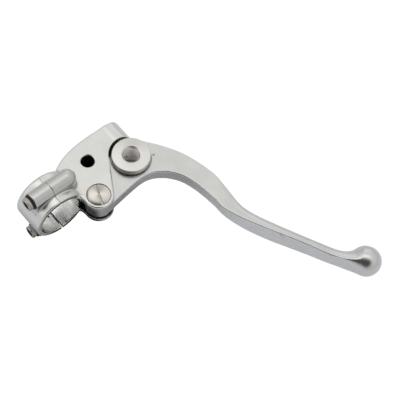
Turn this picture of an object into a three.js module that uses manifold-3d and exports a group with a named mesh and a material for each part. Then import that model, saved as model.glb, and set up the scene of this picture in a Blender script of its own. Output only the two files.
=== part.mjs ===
// Clutch lever for a 25.4 mm (one inch) handlebar.
// Frame: origin on the bar axis at the middle of the clamp, +X along the bar
// towards the ball end, +Y from the bar towards the lever, +Z out of the face
// with the screw slot. Millimetres.
import * as THREE from 'three';
import { mergeVertices } from 'three/addons/utils/BufferGeometryUtils.js';
import Module from 'manifold-3d';

const wasm = await Module();
wasm.setup();

// ---------------------------------------------------------------- dimensions
// Clamp around the bar
const BORE_R = 12.75;
const RING_R = 15.6;
const RING_HALF_WIDTH = 10;
const RING_EDGE_FAR = 1.8;
const RING_EDGE_NEAR = 0.8;
// The clamp closes fully above the bar and keeps its gap below it.
const UPPER_JOINT = 0.15;
const LOWER_JOINT = 0.4;
const BOLT_X = 0.5;
const BOLTS_Z = [15.9, -17];
const BOSS_R = 5;
const CAP_FACE_Y = -11.6;
const BOSS_ROUND_Y = 11.3;

// Clamp bolts, M5 socket head
const BOLT_R = 2.4;
const BOLT_HOLE_R = 2.7;
const BOLT_HEAD_R = 3.85;
const BOLT_HEAD_H = 2.6;
const BOLT_HEAD_FACE_Y = -15.3;
const BOLT_END_Y = 11.5;
const COUNTERBORE_R = 4.45;
const WASHER_R = 4.2;
const WASHER_T = 1.1;
const HEX_ACROSS_FLATS = 4;
const HEX_DEPTH = 1.7;

// Bracket plate, its two ears and the cable adjuster boss
const PLATE_Z = 8.25;
const PLATE_LEFT_X = -17;
const NOSE_R = 8.3;
const CUTOUT_R = 12.3;
const EAR_ROOT_Y = 11.4;
const SLOT_ROOT = new THREE.Vector2(8.8, 11.1);
const ADJUSTER_HOLE_R = 3.5;
const ADJUSTER_BOSS_CHAMFER = 0.8;
const ADJUSTER_Y = 51;
const MIRROR = new THREE.Vector2(-4.4, 29.1);
const MIRROR_HOLE_R = 3.6;
const MIRROR_CHAMFER = 0.5;
const MIRROR_FLOOR = -5.2;

// Pivot
const PIVOT = new THREE.Vector2(15.6, 21.1);
const SLOT_TOP = 4.4;
const SLOT_BOTTOM = -5;
const SLOT_CLEARANCE = 0.5;
const SHOULDER_R = 4;
const SCREW_HEAD_R = 6.5;
const SCREW_HEAD_SEAT = 6.3;
const SCREW_HEAD_TOP = 9.2;
const SCREW_SLOT_ANGLE = THREE.MathUtils.degToRad(-19);
const THREAD_R = 2.95;
const NUT_ACROSS_FLATS = 10;
const NUT_H = 4;
const BUSH_R = 5.5;

// Lever and the cable barrel it carries
const PLATE_HALF_T = 4.1;
const TONGUE_R = 7.7;
const EYE = new THREE.Vector2(7, 50.4);
const EYE_R = 13.2;
const BARREL_R = 10.9;
const BARREL_TOP = 8.6;
const BARREL_UNDER = 3.5;
const STUB_R = 8;
const STUB_END = -6.2;
const NIPPLE_R = 4.4;
const NIPPLE_FLOOR = -5;
const CABLE_SLOT_W = 2.4;
const BALL = new THREE.Vector3(133.4, 111.6, 0);
const BALL_R = 8.4;
const FIT = 0.3;

// Ribs across the lever blade, from the pivot to the ball:
// [front x, front y, back x, back y, half height, squareness, crown]
// The section is widest in Z at crown of the way from the back to the front,
// so a crown of 0 leaves the back flat and 0.5 with squareness 2 is an ellipse.
const RIBS = [
  [10, 21.1, 23.3, 21.1, 4.1, 14, 0],
  [5.5, 30, 21.9, 30, 4.1, 14, 0],
  [0.5, 40, 20.6, 40, 4.1, 14, 0],
  [-3.5, 48.5, 20.1, 46.8, 4.1, 14, 0],
  [-3, 57, 20.7, 52, 4.1, 14, 0],
  [3.5, 63.7, 22.8, 56.6, 4.1, 14, 0],
  [11.5, 69.5, 26.7, 61.4, 4.1, 14, 0],
  [21.5, 75, 33, 65.8, 4.1, 14, 0],
  [32.5, 78.6, 40.6, 68.3, 4.1, 14, 0],
  [43.4, 80.6, 48.3, 69.6, 4.1, 12, 0],
  [53, 80.2, 56, 70.3, 4.1, 8, 0],
  [61, 79.8, 63, 70.5, 4.4, 5, 0],
  [68.5, 80.2, 71, 72.7, 5.2, 3.2, 0],
  [77, 82.8, 80, 76.5, 6.1, 2.6, 0],
  [87, 87.3, 90, 81.3, 6.4, 2.3, 0],
  [97.4, 92.2, 100.4, 86.85, 6.3, 2.3, 0],
  [107, 97, 109.5, 91.55, 5.9, 2.3, 0],
  [115.4, 101.3, 118, 95.6, 5.5, 2.3, 0],
  [119.7, 103.9, 122.9, 97.8, 5.6, 2.2, 0.05],
  [122.5, 106.6, 126.5, 99.4, 5.9, 2.1, 0.12],
  [124.2, 109.6, 129.2, 100.6, 6.5, 2, 0.25],
  [125.5, 113.4, 132, 101.9, 7.2, 2, 0.38],
  [127.1, 116.6, 134.8, 103.4, 7.6, 2, 0.47],
];
const RIB_STEPS = 42;
const FRONT_SIDES = 12;
const BACK_SIDES = 4;

// ------------------------------------------------------------------- helpers
function solid(geometry) {
  const bare = geometry.clone();
  bare.deleteAttribute('normal');
  bare.deleteAttribute('uv');
  const welded = mergeVertices(bare, 1e-4);
  return new wasm.Manifold(new wasm.Mesh({
    numProp: 3,
    vertProperties: new Float32Array(welded.attributes.position.array),
    triVerts: new Uint32Array(welded.index.array),
  }));
}

function geometryOf(manifold) {
  const mesh = manifold.getMesh();
  const geometry = new THREE.BufferGeometry();
  geometry.setAttribute('position', new THREE.BufferAttribute(mesh.vertProperties, 3));
  geometry.setIndex(new THREE.BufferAttribute(mesh.triVerts, 1));
  geometry.computeVertexNormals();
  return geometry;
}

function prism(shape, z0, z1, curveSegments = 12) {
  const geometry = new THREE.ExtrudeGeometry(shape, { depth: z1 - z0, bevelEnabled: false, curveSegments });
  return geometry.translate(0, 0, z0);
}

// A turned body about Z from a closed profile of [radius, z] pairs.
function turned(profile, segments = 40) {
  const points = profile.map(([r, z]) => new THREE.Vector2(r, z));
  return new THREE.LatheGeometry(points, segments).rotateX(Math.PI / 2);
}

function rodZ(radius, z0, z1, centre, segments = 40) {
  return turned([[0, z0], [radius, z0], [radius, z1], [0, z1]], segments).translate(centre.x, centre.y, 0);
}

function rodY(radius, y0, y1, x, z, segments = 40) {
  const rod = turned([[0, y0], [radius, y0], [radius, y1], [0, y1]], segments);
  return rod.rotateX(-Math.PI / 2).translate(x, 0, z);
}

function rodX(radius, x0, x1, y, z, segments = 48) {
  const rod = turned([[0, x0], [radius, x0], [radius, x1], [0, x1]], segments);
  return rod.rotateY(Math.PI / 2).translate(0, y, z);
}

function block(x0, x1, y0, y1, z0, z1) {
  const box = new THREE.BoxGeometry(x1 - x0, y1 - y0, z1 - z0);
  return box.translate((x0 + x1) / 2, (y0 + y1) / 2, (z0 + z1) / 2);
}

function hexagon(acrossFlats) {
  const corner = acrossFlats / Math.sqrt(3);
  const points = [0, 1, 2, 3, 4, 5].map((k) => {
    const angle = (k * Math.PI) / 3;
    return new THREE.Vector2(corner * Math.cos(angle), corner * Math.sin(angle));
  });
  return new THREE.Shape(points);
}

function union(...geometries) {
  return geometries.map(solid).reduce((whole, piece) => whole.add(piece));
}

function cut(whole, ...geometries) {
  return geometries.map(solid).reduce((rest, piece) => rest.subtract(piece), whole);
}

// Angle of the tangent normal that two circles share. bSide is +1 for a line that
// keeps both circles on one side, -1 for one that passes between them.
function tangentAngle(a, ra, b, rb, turn, bSide) {
  const between = b.clone().sub(a);
  return between.angle() + turn * Math.acos((ra - bSide * rb) / between.length());
}

function onCircle(centre, radius, angle) {
  return new THREE.Vector2(centre.x + radius * Math.cos(angle), centre.y + radius * Math.sin(angle));
}

// --------------------------------------------------------------------- clamp
// The bore and the two bolt holes, which the bracket and the cap share.
const clampBore = rodX(BORE_R, -20, 20, 0, 0, 64);
const boltHoles = BOLTS_Z.map((z) => rodY(BOLT_HOLE_R, -30, BOLT_END_Y + 1.5, BOLT_X, z, 28));

function clampRing() {
  return solid(turned([
    [0, -RING_HALF_WIDTH], [RING_R - RING_EDGE_FAR, -RING_HALF_WIDTH],
    [RING_R - 0.3 * RING_EDGE_FAR, -RING_HALF_WIDTH + 0.7 * RING_EDGE_FAR],
    [RING_R, -RING_HALF_WIDTH + 1.6 * RING_EDGE_FAR],
    [RING_R, RING_HALF_WIDTH - RING_EDGE_NEAR],
    [RING_R - RING_EDGE_NEAR, RING_HALF_WIDTH], [0, RING_HALF_WIDTH],
  ], 64).rotateY(Math.PI / 2));
}

// One half of the clamp: side is 1 for the bracket and -1 for the cap.
function halfOf(body, side) {
  const far = 40 * side;
  const above = block(-30, 30, Math.min(UPPER_JOINT * side, far), Math.max(UPPER_JOINT * side, far), 0, 40);
  const below = block(-30, 30, Math.min(LOWER_JOINT * side, far), Math.max(LOWER_JOINT * side, far), -40, 0);
  return body.intersect(union(above, below));
}

// The wall that joins the two bolt bosses, from y0 to y1.
function bossWall(y0, y1) {
  return block(BOLT_X - BOSS_R, BOLT_X + BOSS_R, y0, y1, BOLTS_Z[1], BOLTS_Z[0]);
}

function makeBracket() {
  const noseTangent = tangentAngle(PIVOT, NOSE_R, EYE, CUTOUT_R, -1, -1);
  const outline = new THREE.Shape();
  outline.moveTo(-RING_HALF_WIDTH, 4);
  outline.lineTo(RING_HALF_WIDTH, 4);
  outline.lineTo(RING_HALF_WIDTH, EAR_ROOT_Y);
  outline.quadraticCurveTo(RING_HALF_WIDTH + 2, PIVOT.y - NOSE_R, PIVOT.x, PIVOT.y - NOSE_R);
  outline.absarc(PIVOT.x, PIVOT.y, NOSE_R, -Math.PI / 2, noseTangent, false);
  outline.absarc(EYE.x, EYE.y, CUTOUT_R, noseTangent - Math.PI, -Math.PI - 0.05, true);
  outline.lineTo(PLATE_LEFT_X, ADJUSTER_Y);
  outline.lineTo(PLATE_LEFT_X, 40);
  outline.quadraticCurveTo(PLATE_LEFT_X - 0.2, 20, -9.5, 10.5);

  const bossEnd = PLATE_LEFT_X + ADJUSTER_BOSS_CHAMFER;
  const adjusterBoss = turned([
    [0, PLATE_LEFT_X], [PLATE_Z - ADJUSTER_BOSS_CHAMFER, PLATE_LEFT_X],
    [PLATE_Z, bossEnd], [PLATE_Z, 4], [0, 4],
  ], 48).rotateY(Math.PI / 2).translate(0, ADJUSTER_Y, 0);

  const bosses = BOLTS_Z.map((z) => {
    const ball = new THREE.SphereGeometry(BOSS_R, 24, 14).translate(BOLT_X, BOSS_ROUND_Y, z);
    return union(rodY(BOSS_R, -1, BOSS_ROUND_Y, BOLT_X, z, 24), ball);
  });
  const wallEnd = new THREE.Shape();
  wallEnd.moveTo(BOLT_X - BOSS_R, 5);
  wallEnd.absarc(BOLT_X, BOSS_ROUND_Y, BOSS_R, Math.PI, 0, true);
  wallEnd.lineTo(BOLT_X + BOSS_R, 5);

  const clamp = union(bossWall(-1, 6), prism(wallEnd, BOLTS_Z[1], BOLTS_Z[0], 16))
    .add(clampRing()).add(bosses[0]).add(bosses[1]);
  const body = halfOf(clamp, 1).add(solid(prism(outline, -PLATE_Z, PLATE_Z, 20))).add(solid(adjusterBoss));

  // Slot between the ears: everything the tongue and eye of the lever need.
  const slotNose = NOSE_R + SLOT_CLEARANCE;
  const slotEye = EYE_R + SLOT_CLEARANCE;
  const slotSide = tangentAngle(PIVOT, slotNose, EYE, slotEye, 1, 1);
  const slot = new THREE.Shape([
    onCircle(PIVOT, slotNose, slotSide), new THREE.Vector2(SLOT_ROOT.x, PIVOT.y - 4), SLOT_ROOT,
    new THREE.Vector2(50, SLOT_ROOT.y), new THREE.Vector2(50, EYE.y), EYE, onCircle(EYE, slotEye, slotSide),
  ]);
  const cutout = rodZ(CUTOUT_R, -30, 30, EYE, 60);
  const mirrorHole = turned([
    [0, MIRROR_FLOOR], [MIRROR_HOLE_R, MIRROR_FLOOR], [MIRROR_HOLE_R, PLATE_Z - MIRROR_CHAMFER],
    [MIRROR_HOLE_R + MIRROR_CHAMFER + 1, PLATE_Z + 1], [0, PLATE_Z + 1],
  ], 36).translate(MIRROR.x, MIRROR.y, 0);
  return cut(
    body, clampBore, ...boltHoles, cutout, mirrorHole,
    prism(slot, SLOT_BOTTOM, SLOT_TOP),
    rodZ(slotNose, SLOT_BOTTOM, SLOT_TOP, PIVOT, 48),
    rodZ(slotEye, SLOT_BOTTOM, SLOT_TOP, EYE, 60),
    rodX(ADJUSTER_HOLE_R, -30, EYE.x, ADJUSTER_Y, 0, 28),
    rodZ(SHOULDER_R + FIT, 0, 20, PIVOT, 36),
    rodZ(SCREW_HEAD_R + FIT, SCREW_HEAD_SEAT - FIT, 20, PIVOT, 40),
    rodZ(THREAD_R + FIT, -20, 0, PIVOT, 32),
  );
}

function makeCap() {
  const bossRods = BOLTS_Z.map((z) => rodY(BOSS_R, CAP_FACE_Y, 1, BOLT_X, z, 32));
  const seat = BOLT_HEAD_FACE_Y + BOLT_HEAD_H + WASHER_T + 2 * FIT;
  const counterbores = BOLTS_Z.map((z) => rodY(COUNTERBORE_R, -30, seat, BOLT_X, z, 36));
  const clamp = union(...bossRods, bossWall(CAP_FACE_Y, 1)).add(clampRing());
  return cut(halfOf(clamp, -1), clampBore, ...boltHoles, ...counterbores);
}

function makeBolt(z) {
  const headBack = BOLT_HEAD_FACE_Y + BOLT_HEAD_H;
  const body = turned([
    [0, BOLT_HEAD_FACE_Y], [BOLT_HEAD_R - 0.5, BOLT_HEAD_FACE_Y], [BOLT_HEAD_R, BOLT_HEAD_FACE_Y + 0.5],
    [BOLT_HEAD_R, headBack], [BOLT_R, headBack], [BOLT_R, BOLT_END_Y - 0.8],
    [BOLT_R - 0.8, BOLT_END_Y], [0, BOLT_END_Y],
  ], 28);
  const socket = prism(hexagon(HEX_ACROSS_FLATS), BOLT_HEAD_FACE_Y - 1, BOLT_HEAD_FACE_Y + HEX_DEPTH);
  return geometryOf(cut(solid(body), socket)).rotateX(-Math.PI / 2).translate(BOLT_X, 0, z);
}

function makeBoltWasher(z) {
  const y0 = BOLT_HEAD_FACE_Y + BOLT_HEAD_H + FIT;
  const ring = turned([
    [BOLT_HOLE_R, y0], [WASHER_R, y0], [WASHER_R, y0 + WASHER_T],
    [BOLT_HOLE_R, y0 + WASHER_T], [BOLT_HOLE_R, y0],
  ], 24);
  return ring.rotateX(-Math.PI / 2).translate(BOLT_X, 0, z);
}

// --------------------------------------------------------------------- pivot
function makePivotScrew() {
  const dome = 5;
  const profile = [[0, -PLATE_Z - NUT_H - 1.6], [THREAD_R - 0.6, -PLATE_Z - NUT_H - 1.6]];
  profile.push([THREAD_R, -PLATE_Z - NUT_H - 1], [THREAD_R, SLOT_BOTTOM + FIT]);
  profile.push([SHOULDER_R, SLOT_BOTTOM + FIT], [SHOULDER_R, SCREW_HEAD_SEAT]);
  profile.push([SCREW_HEAD_R, SCREW_HEAD_SEAT], [SCREW_HEAD_R, PLATE_Z - 0.4]);
  for (let k = 1; k <= dome; k += 1) {
    const angle = (k * Math.PI) / 2 / dome;
    const rise = SCREW_HEAD_TOP - PLATE_Z + 0.4;
    profile.push([SCREW_HEAD_R * Math.cos(angle), PLATE_Z - 0.4 + rise * Math.sin(angle)]);
  }
  profile[profile.length - 1][0] = 0;
  const slot = block(-10, 10, -0.5, 0.5, SCREW_HEAD_TOP - 1.5, SCREW_HEAD_TOP + 2).rotateZ(SCREW_SLOT_ANGLE);
  return geometryOf(cut(solid(turned(profile, 36)), slot)).translate(PIVOT.x, PIVOT.y, 0);
}

function makePivotNut() {
  const nut = prism(hexagon(NUT_ACROSS_FLATS), -PLATE_Z - NUT_H - 0.2, -PLATE_Z - 0.2);
  const hole = rodZ(THREAD_R + FIT, -30, 0, new THREE.Vector2(0, 0), 28);
  return geometryOf(cut(solid(nut), hole)).rotateZ(Math.PI / 7).translate(PIVOT.x, PIVOT.y, 0);
}

function makeSleeve(inner, outer, z0, z1, segments = 36) {
  const ring = turned([[inner, z0], [outer, z0], [outer, z1], [inner, z1], [inner, z0]], segments);
  return ring.translate(PIVOT.x, PIVOT.y, 0);
}

// --------------------------------------------------------------------- lever
// A closed loft over the ribs: each section runs over the front from the upper
// to the lower crown and back round behind.
function makeBlade() {
  const along = (a, b, c) => new THREE.CatmullRomCurve3(
    RIBS.map((rib) => new THREE.Vector3(rib[a], rib[b], rib[c])),
  );
  const frontLine = along(0, 1, 5);
  const backLine = along(2, 3, 4);
  const crownLine = along(6, 6, 6);
  const angles = [];
  for (let k = 0; k < FRONT_SIDES; k += 1) angles.push(Math.PI * (0.5 - k / FRONT_SIDES));
  for (let k = 0; k < BACK_SIDES; k += 1) angles.push(-Math.PI * (0.5 + k / BACK_SIDES));
  const positions = [];
  for (let i = 0; i <= RIB_STEPS; i += 1) {
    const front = frontLine.getPoint(i / RIB_STEPS);
    const back = backLine.getPoint(i / RIB_STEPS);
    const middle = crownLine.getPoint(i / RIB_STEPS).x;
    const squareness = front.z;
    const flattening = 1 + 0.004 * (squareness - 2);
    for (const angle of angles) {
      const cos = Math.abs(Math.cos(angle)) ** (2 / squareness);
      const sin = Math.min(1, flattening * Math.abs(Math.sin(angle)) ** (2 / squareness));
      const across = Math.cos(angle) > 0 ? middle + (1 - middle) * cos : middle * (1 - cos);
      positions.push(
        back.x + (front.x - back.x) * across,
        back.y + (front.y - back.y) * across,
        back.z * Math.sign(Math.sin(angle)) * sin,
      );
    }
  }
  const sides = angles.length;
  const index = [];
  for (let i = 0; i < RIB_STEPS; i += 1) {
    for (let k = 0; k < sides; k += 1) {
      const a = i * sides + k;
      const b = i * sides + ((k + 1) % sides);
      index.push(a, a + sides, b, b, a + sides, b + sides);
    }
  }
  const last = RIB_STEPS * sides;
  for (let k = 1; k < sides - 1; k += 1) {
    index.push(0, k, k + 1, last, last + k + 1, last + k);
  }
  const geometry = new THREE.BufferGeometry();
  geometry.setAttribute('position', new THREE.Float32BufferAttribute(positions, 3));
  geometry.setIndex(index);
  return geometry;
}

function makeLever() {
  const tongueSide = tangentAngle(PIVOT, TONGUE_R, EYE, EYE_R, 1, 1);
  const tongueEnd = onCircle(PIVOT, TONGUE_R, tongueSide);
  const eyeSide = new THREE.Shape();
  eyeSide.moveTo(PIVOT.x, PIVOT.y);
  eyeSide.lineTo(EYE.x + 9, EYE.y);
  eyeSide.lineTo(EYE.x + 3, EYE.y + EYE_R - 1);
  eyeSide.absarc(EYE.x, EYE.y, EYE_R, Math.PI / 2, tongueSide, false);
  eyeSide.lineTo(tongueEnd.x, tongueEnd.y);
  const body = union(
    makeBlade(), prism(eyeSide, -PLATE_HALF_T, PLATE_HALF_T, 24),
    rodZ(TONGUE_R, -PLATE_HALF_T, PLATE_HALF_T, PIVOT, 40),
    new THREE.SphereGeometry(BALL_R, 28, 18).rotateX(Math.PI / 2).translate(BALL.x, BALL.y, BALL.z),
  );
  // Window that lets the cable leave the barrel at every angle of the lever.
  const window = new THREE.Shape();
  window.moveTo(0, 0);
  window.absarc(0, 0, 20, Math.PI - 0.2, Math.PI + 0.75, false);
  const windowCut = prism(window, -2, 2, 12).translate(EYE.x, EYE.y, 0);
  return cut(
    body, windowCut,
    rodZ(BUSH_R + 0.05, -20, 20, PIVOT, 40),
    rodZ(STUB_R + FIT, -20, 20, EYE, 40),
    rodZ(BARREL_R + FIT, BARREL_UNDER - FIT, 20, EYE, 56),
  );
}

function makeBarrel() {
  const profile = [
    [0, STUB_END], [STUB_R - 0.5, STUB_END], [STUB_R, STUB_END + 0.4], [STUB_R, -5.6], [STUB_R - 0.9, -5.6],
    [STUB_R - 0.9, -4.4], [STUB_R, -4.4], [STUB_R, BARREL_UNDER], [BARREL_R, BARREL_UNDER],
    [BARREL_R, BARREL_TOP - 0.7], [BARREL_R - 0.6, BARREL_TOP], [6.8, BARREL_TOP],
    [NIPPLE_R + 0.7, BARREL_TOP - 0.4], [NIPPLE_R, BARREL_TOP - 1.1],
    [NIPPLE_R, NIPPLE_FLOOR], [0, NIPPLE_FLOOR],
  ];
  const cableSlot = block(-20, 0, -CABLE_SLOT_W / 2, CABLE_SLOT_W / 2, -1.3, 1.3);
  return geometryOf(cut(solid(turned(profile, 48)), cableSlot)).translate(EYE.x, EYE.y, 0);
}

// An open snap ring in the groove of the barrel's stub.
function makeClip() {
  const inner = STUB_R - 0.9 + 0.15;
  const outer = STUB_R + 1.6;
  const gap = 0.35;
  const ring = new THREE.Shape();
  ring.absarc(0, 0, outer, gap, 2 * Math.PI - gap, false);
  ring.absarc(0, 0, inner, 2 * Math.PI - gap, gap, true);
  return prism(ring, -5.45, -4.6, 24).translate(EYE.x, EYE.y, 0);
}

// ------------------------------------------------------------------ assembly
const cast = new THREE.MeshStandardMaterial({ color: 0xd3d4d3, roughness: 0.42, metalness: 0.9 });
const steel = new THREE.MeshStandardMaterial({ color: 0x8f9092, roughness: 0.35, metalness: 1 });
const blackened = new THREE.MeshStandardMaterial({ color: 0x161616, roughness: 0.5, metalness: 0.6 });
const nickel = new THREE.MeshStandardMaterial({ color: 0xbdb8b0, roughness: 0.3, metalness: 1 });
const turnedSteel = new THREE.MeshStandardMaterial({ color: 0xcfcbc4, roughness: 0.32, metalness: 1 });
const bronze = new THREE.MeshStandardMaterial({ color: 0xb08a4a, roughness: 0.4, metalness: 1 });

const group = new THREE.Group();

function add(name, geometry, material) {
  const mesh = new THREE.Mesh(geometry, material);
  mesh.name = name;
  group.add(mesh);
}

add('bracket', geometryOf(makeBracket()), cast);
add('clamp_cap', geometryOf(makeCap()), cast);
add('upper_clamp_bolt', makeBolt(BOLTS_Z[0]), steel);
add('lower_clamp_bolt', makeBolt(BOLTS_Z[1]), steel);
add('upper_bolt_washer', makeBoltWasher(BOLTS_Z[0]), blackened);
add('lower_bolt_washer', makeBoltWasher(BOLTS_Z[1]), blackened);
add('pivot_screw', makePivotScrew(), nickel);
add('pivot_nut', makePivotNut(), steel);
add('thrust_washer', makeSleeve(SHOULDER_R + FIT, 7.2, SLOT_BOTTOM + 0.15, -PLATE_HALF_T - 0.25), steel);
add('pivot_bush', makeSleeve(SHOULDER_R + 0.2, BUSH_R - 0.1, -PLATE_HALF_T, PLATE_HALF_T), bronze);
add('lever_blade', geometryOf(makeLever()), cast);
add('cable_barrel', makeBarrel(), turnedSteel);
add('barrel_clip', makeClip(), steel);

export default group;
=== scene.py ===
"""Clutch lever: detailed meshes, materials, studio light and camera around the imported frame.

Shapes are signed distance fields in millimetres, in the frame of the CAD model, and each is
turned into one smooth closed mesh.
"""
import math

import bpy
import numpy as np
from mathutils import Matrix


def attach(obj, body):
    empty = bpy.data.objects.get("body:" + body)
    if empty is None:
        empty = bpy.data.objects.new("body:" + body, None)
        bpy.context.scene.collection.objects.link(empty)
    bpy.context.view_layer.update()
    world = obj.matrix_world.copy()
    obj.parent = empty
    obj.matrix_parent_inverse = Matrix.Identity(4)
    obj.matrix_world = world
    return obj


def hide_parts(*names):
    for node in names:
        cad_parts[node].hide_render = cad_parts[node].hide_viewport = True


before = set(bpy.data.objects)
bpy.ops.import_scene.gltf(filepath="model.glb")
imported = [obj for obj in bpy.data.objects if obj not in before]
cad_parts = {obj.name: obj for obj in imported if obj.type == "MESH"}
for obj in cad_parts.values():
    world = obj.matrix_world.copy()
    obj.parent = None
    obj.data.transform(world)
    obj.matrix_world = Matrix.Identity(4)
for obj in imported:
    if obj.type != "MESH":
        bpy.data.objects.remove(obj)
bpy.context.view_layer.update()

MM = 0.001

# ------------------------------------------------------------------ dimensions, mm
BORE_R = 12.75
RING_R = 15.6
RING_HALF_WIDTH = 10.0
UPPER_JOINT = 0.04
LOWER_JOINT = 0.4
BOLT_X = 0.5
BOLTS_Z = (15.9, -17.0)
BOSS_R = 5.0
BOSS_ROUND_Y = 11.3
CAP_FACE_Y = -11.6

BOLT_R = 2.3
BOLT_HOLE_R = 2.5
BOLT_PITCH = 0.8
BOLT_HEAD_R = 3.6
BOLT_FACE_Y = -15.3
BOLT_HEAD_H = 2.6
BOLT_END_Y = 11.5
BOLT_KNURLS = 48
HEX_ACROSS = 4.3
HEX_DEPTH = 1.7
HEX_TURN = 0.3
COUNTERBORE_R = 4.5
COUNTERBORE_SEAT = -11.0
WASHER_R = 4.35
WASHER_T = 1.4

PLATE_Z = 8.25
PLATE_LEFT_X = -17.0
NOSE_R = 8.3
CUTOUT_R = 12.3
EAR_ROOT_Y = 11.4
SLOT_ROOT = (8.8, 11.1)
ADJUSTER_Y = 51.0
ADJUSTER_HOLE_R = 3.5
ADJUSTER_END_X = 4.0
MIRROR = (-4.4, 29.1)
MIRROR_HOLE_R = 3.75
MIRROR_FLOOR = -5.2
MIRROR_PITCH = 1.25

PIVOT = (15.6, 21.1)
SLOT_TOP = 4.4
SLOT_BOTTOM = -5.0
SLOT_CLEARANCE = 0.5
SHOULDER_R = 4.0
SCREW_HEAD_R = 6.5
SCREW_HEAD_SEAT = 6.3
SCREW_HEAD_TOP = 9.2
SCREW_SLOT_ANGLE = math.radians(-19)
SCREW_SLOT_HALF_WIDTH = 0.5
SCREW_SLOT_DEPTH = 1.2
THREAD_R = 2.95
THREAD_PITCH = 1.0
NUT_ACROSS = 10.0
NUT_H = 4.0
NUT_TOP = -PLATE_Z - 0.2
NUT_TURN = math.pi / 7 + math.pi / 6
SCREW_END = -PLATE_Z - NUT_H - 1.6
BUSH_R = 5.5
THRUST_R = 7.2
THRUST_Z = (-4.85, -4.35)

EYE = (7.0, 50.4)
EYE_R = 13.2
TONGUE_R = 7.7
LEVER_HALF_T = 4.1
BARREL_R = 10.9
BARREL_TOP = 8.6
BARREL_UNDER = 3.5
BARREL_CROWN = 0.0045
GROOVE_Z = 6.35
GROOVE_DEPTH = 0.22
GROOVE_HALF_WIDTH = 0.16
STUB_R = 8.0
STUB_END = -6.2
SNAP_GROOVE_Z = -5.0
SNAP_GROOVE_HALF_WIDTH = 0.6
SNAP_GROOVE_DEPTH = 0.9
CLIP_Z = (-5.45, -4.6)
CLIP_GAP_ANGLE = 0.35
NIPPLE_R = 4.15
NIPPLE_FLOOR = -5.5
FUNNEL_R = 5.4
FUNNEL_SLOPE = 0.9
CABLE_SLOT_Z = -0.2
CABLE_SLOT_HALF_WIDTH = 0.7
CABLE_SLOT_HALF_HEIGHT = 0.8
CABLE_WINDOW_ANGLE = math.pi + 0.275
CABLE_WINDOW_HALF_ANGLE = 0.475
CABLE_WINDOW_HALF_HEIGHT = 2.0
CABLE_WINDOW_REACH = 20
BALL = (133.4, 111.6)
BALL_R = 8.4
NECK_DIRECTION = (0.87, 0.49)
NECK_BLEND = 1.6

# Ribs across the lever: front x, front y, back x, back y, half height, squareness and
# crown, which is where the section is widest, from 0 at the back to 1 at the front.
RIBS = [
    (3.5, 63.7, 22.8, 56.6, 4.1, 14.0, 0.0),
    (11.5, 69.5, 26.7, 61.4, 4.1, 14.0, 0.0),
    (21.5, 75.0, 33.0, 65.8, 4.1, 14.0, 0.0),
    (32.5, 78.6, 40.6, 68.3, 4.1, 14.0, 0.0),
    (43.4, 80.6, 48.3, 69.6, 4.1, 12.0, 0.0),
    (53.0, 80.2, 56.0, 70.3, 4.1, 8.0, 0.0),
    (61.0, 79.8, 63.0, 70.5, 4.4, 5.0, 0.0),
    (68.5, 80.2, 71.0, 72.7, 5.2, 3.2, 0.0),
    (77.0, 82.8, 80.0, 76.5, 6.1, 2.6, 0.0),
    (87.0, 87.3, 90.0, 81.3, 6.4, 2.3, 0.0),
    (97.4, 92.2, 100.4, 86.85, 6.3, 2.3, 0.0),
    (107.0, 97.0, 109.5, 91.55, 5.9, 2.3, 0.0),
    (115.4, 101.3, 118.0, 95.6, 5.5, 2.3, 0.0),
    (119.7, 103.9, 122.8, 97.95, 5.6, 2.2, 0.09),
    (122.5, 106.6, 126.4, 99.6, 5.9, 2.1, 0.16),
    (124.2, 109.6, 129.1, 100.8, 6.45, 2.0, 0.25),
    (125.5, 113.4, 132.0, 102.0, 7.1, 2.0, 0.37),
    (127.2, 116.4, 134.6, 103.4, 7.65, 2.0, 0.46),
    (129.9, 117.7, 136.9, 105.4, 7.7, 2.0, 0.5),
]
# Small faults of the casting in the lever: x, y, z, radius.
CASTING_PITS = [(94.2, 83.4, 5.1, 0.75), (95.6, 84.1, 3.7, 0.7), (13.0, 61.6, 4.3, 0.7)]
# Back edge of the lever from the tongue up to the first rib.
BACK_EDGE = [(23.3, 21.1), (21.9, 30.0), (20.6, 40.0), (20.1, 46.8), (20.7, 52.0)]

# Meshing. The margin around a piece isn't a whole number of cells, so that flat faces don't
# fall on the planes of the grid.
COARSER = 1.0
MARGIN_CELLS = 2.37
PROJECTION_STEPS = 4
# A quad whose normals differ more than this crosses an edge, and gets them from its inside
# where they turn by more than the second angle.
EDGE_ANGLE = math.radians(11)
SPLIT_ANGLE = math.radians(14)
INWARD_SHARE = 0.38


# ------------------------------------------------------------------ distance fields
def smooth_min(a, b, k):
    """Union of two fields with a fillet, where they differ by less than k."""
    h = np.maximum(k - np.abs(a - b), 0.0) / k
    return np.minimum(a, b) - h * h * k * 0.25


def smooth_max(a, b, k):
    return -smooth_min(-a, -b, k)


def cut(body, tool, k=0.35):
    """body without tool, with the edge broken by about k / 2."""
    return smooth_max(body, -tool, k)


def rounded(u, v, radius):
    """Intersection of two half spaces u < 0 and v < 0 whose shared edge is rounded."""
    a = u + radius
    b = v + radius
    outside = np.sqrt(np.maximum(a, 0.0) ** 2 + np.maximum(b, 0.0) ** 2)
    return outside + np.minimum(np.maximum(a, b), 0.0) - radius


def rod(u, v, centre, radius):
    """Distance to the side of an endless rod whose axis meets the plane of u and v at centre."""
    return np.sqrt((u - centre[0]) ** 2 + (v - centre[1]) ** 2) - radius


def sphere(x, y, z, centre, radius):
    return np.sqrt((x - centre[0]) ** 2 + (y - centre[1]) ** 2 + (z - centre[2]) ** 2) - radius


def prism_sides(u, v, across, sides, turn=0.0):
    """A regular prism's side faces, across flats."""
    worst = None
    for k in range(sides):
        angle = turn + 2 * math.pi * k / sides
        d = u * math.cos(angle) + v * math.sin(angle) - across / 2
        worst = d if worst is None else np.maximum(worst, d)
    return worst


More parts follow.
